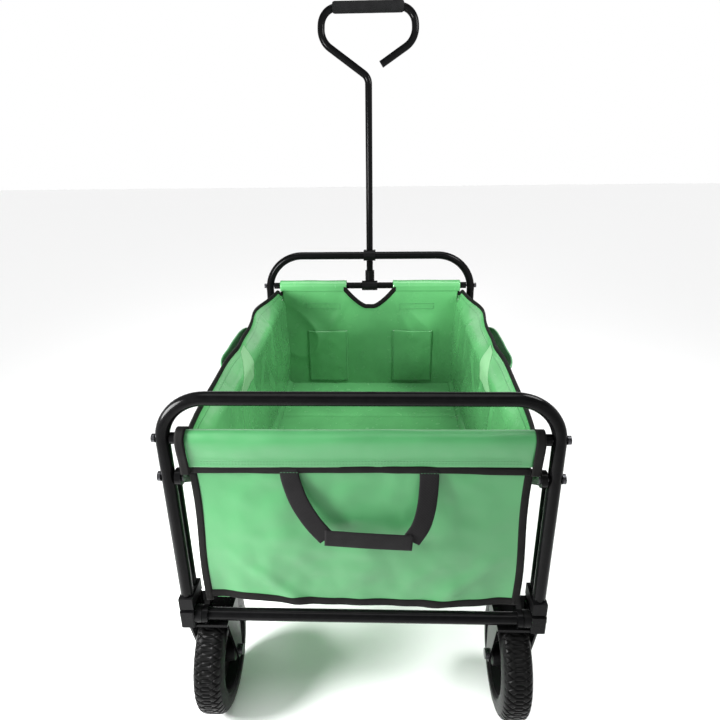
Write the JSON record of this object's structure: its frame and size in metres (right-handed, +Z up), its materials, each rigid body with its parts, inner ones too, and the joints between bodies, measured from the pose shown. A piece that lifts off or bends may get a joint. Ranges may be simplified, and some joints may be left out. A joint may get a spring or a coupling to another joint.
{
  "type": "folding wagon",
  "caption": "Folding pull wagon with a green fabric tub, black tube frames, side scissors, swivel front wheels and a looped pull handle.",
  "frame": {"origin": "centre of the bounding box's base, on the ground", "axes": "+X to the right seen from the rear, +Y towards the pull handle, +Z up"},
  "size_m": [0.548, 0.903, 1.1555],
  "materials": {
    "frame_paint": "gloss black powder coat",
    "zinc_hardware": "bright zinc",
    "green_polyester": "coated woven polyester",
    "tyre_rubber": "moulded tread",
    "black_webbing": "ribbed webbing",
    "grip_foam": "closed-cell foam",
    "black_plastic": "moulded satin"
  },
  "bodies": {
    "rear_base": {"rear_cross_tube": "frame_paint", "rear_guide_posts": "frame_paint", "rear_corner_left": "frame_paint", "rear_corner_right": "frame_paint", "rear_tube_collars": "black_plastic", "rear_fork_left": "frame_paint", "rear_fork_right": "frame_paint", "rear_axles": "zinc_hardware"},
    "rear_frame": {"rear_push_bar": "frame_paint", "rear_cross_rail": "frame_paint", "rear_guide_collars": "black_plastic", "rear_frame_bolts": "zinc_hardware", "rear_pivot_bolts": "zinc_hardware", "bag_rear_panel": "green_polyester", "bag_side_left": "green_polyester", "bag_side_right": "green_polyester", "bag_floor": "green_polyester", "side_pocket_left": "green_polyester", "side_pocket_right": "green_polyester", "rear_carry_strap": "black_webbing"},
    "rear_inner_arms": {"rear_brace_inner": "frame_paint", "rear_centre_pins": "zinc_hardware", "top_pins": "zinc_hardware"},
    "rear_outer_arms": {"rear_brace_outer": "frame_paint", "middle_cross_tube": "frame_paint"},
    "front_inner_arms": {"front_brace_inner": "frame_paint", "front_centre_pins": "zinc_hardware"},
    "front_outer_arms": {"front_brace_outer": "frame_paint"},
    "front_base": {"front_cross_tube": "frame_paint", "front_guide_posts": "frame_paint", "front_corner_left": "frame_paint", "front_corner_right": "frame_paint", "front_tube_collars": "black_plastic"},
    "front_frame": {"front_push_bar": "frame_paint", "front_cross_rail": "frame_paint", "front_guide_collars": "black_plastic", "front_frame_bolts": "zinc_hardware", "front_pivot_bolts": "zinc_hardware", "bag_front_panel": "green_polyester", "inner_pockets": "green_polyester", "handle_clip": "black_plastic"},
    "handle": {"handle_tube": "frame_paint", "handle_grip": "grip_foam", "handle_end_cap": "black_plastic", "handle_socket": "black_plastic"},
    "caster_left": {"caster_fork_left": "frame_paint", "kingpin_left": "zinc_hardware", "caster_axle_left": "zinc_hardware"},
    "rear_wheel_left": {"rear_rim_left": "black_plastic", "rear_tyre_left": "tyre_rubber"},
    "front_wheel_left": {"front_rim_left": "black_plastic", "front_tyre_left": "tyre_rubber"},
    "caster_right": {"caster_fork_right": "frame_paint", "kingpin_right": "zinc_hardware", "caster_axle_right": "zinc_hardware"},
    "rear_wheel_right": {"rear_rim_right": "black_plastic", "rear_tyre_right": "tyre_rubber"},
    "front_wheel_right": {"front_rim_right": "black_plastic", "front_tyre_right": "tyre_rubber"}
  },
  "joints": [
    {"name": "fold", "type": "hinge", "parent": "rear_base", "child": "rear_inner_arms", "pos_m": [0, -0.3985, 0.21], "axis": [1, 0, 0], "range_deg": [0, 38], "deforming": ["bag_side_left", "bag_side_right", "bag_floor", "side_pocket_left", "side_pocket_right"]},
    {"name": "rear_centre_pivot", "type": "hinge", "parent": "rear_inner_arms", "child": "rear_outer_arms", "pos_m": [0, -0.1985, 0.332], "axis": [1, 0, 0], "range_deg": [-76.01, 0.01]},
    {"name": "rear_frame_pivot", "type": "hinge", "parent": "rear_outer_arms", "child": "rear_frame", "pos_m": [0, -0.3985, 0.454], "axis": [1, 0, 0], "range_deg": [-0.01, 38.01]},
    {"name": "middle_pivot", "type": "hinge", "parent": "rear_outer_arms", "child": "front_inner_arms", "pos_m": [0, 0.0015, 0.21], "axis": [1, 0, 0], "range_deg": [-0.01, 76.01]},
    {"name": "front_centre_pivot", "type": "hinge", "parent": "front_inner_arms", "child": "front_outer_arms", "pos_m": [0, 0.2015, 0.332], "axis": [1, 0, 0], "range_deg": [-76.01, 0.01]},
    {"name": "front_frame_pivot", "type": "hinge", "parent": "front_inner_arms", "child": "front_frame", "pos_m": [0, 0.4015, 0.454], "axis": [1, 0, 0], "range_deg": [-38.01, 0.01]},
    {"name": "front_base_pivot", "type": "hinge", "parent": "front_outer_arms", "child": "front_base", "pos_m": [0, 0.4015, 0.21], "axis": [1, 0, 0], "range_deg": [-0.01, 38.01]},
    {"name": "handle_tilt", "type": "hinge", "parent": "front_frame", "child": "handle", "pos_m": [0, 0.4015, 0.513], "axis": [1, 0, 0], "range_deg": [-110, 0]},
    {"name": "caster_swivel_left", "type": "hinge", "parent": "front_base", "child": "caster_left", "pos_m": [-0.234, 0.4015, 0.19], "axis": [0, 0, 1], "continuous": true},
    {"name": "front_wheel_left_spin", "type": "hinge", "parent": "caster_left", "child": "front_wheel_left", "pos_m": [-0.234, 0.3665, 0.085], "axis": [1, 0, 0], "continuous": true},
    {"name": "rear_wheel_left_spin", "type": "hinge", "parent": "rear_base", "child": "rear_wheel_left", "pos_m": [-0.234, -0.3585, 0.093], "axis": [1, 0, 0], "continuous": true},
    {"name": "caster_swivel_right", "type": "hinge", "parent": "front_base", "child": "caster_right", "pos_m": [0.234, 0.4015, 0.19], "axis": [0, 0, 1], "continuous": true},
    {"name": "front_wheel_right_spin", "type": "hinge", "parent": "caster_right", "child": "front_wheel_right", "pos_m": [0.234, 0.3665, 0.085], "axis": [1, 0, 0], "continuous": true},
    {"name": "rear_wheel_right_spin", "type": "hinge", "parent": "rear_base", "child": "rear_wheel_right", "pos_m": [0.234, -0.3585, 0.093], "axis": [1, 0, 0], "continuous": true}
  ],
  "couplings": [
    {"joint": "rear_centre_pivot", "follows": "fold", "ratio": -2},
    {"joint": "rear_frame_pivot", "follows": "fold", "ratio": 1},
    {"joint": "middle_pivot", "follows": "fold", "ratio": 2},
    {"joint": "front_centre_pivot", "follows": "fold", "ratio": -2},
    {"joint": "front_frame_pivot", "follows": "fold", "ratio": -1},
    {"joint": "front_base_pivot", "follows": "fold", "ratio": 1}
  ]
}
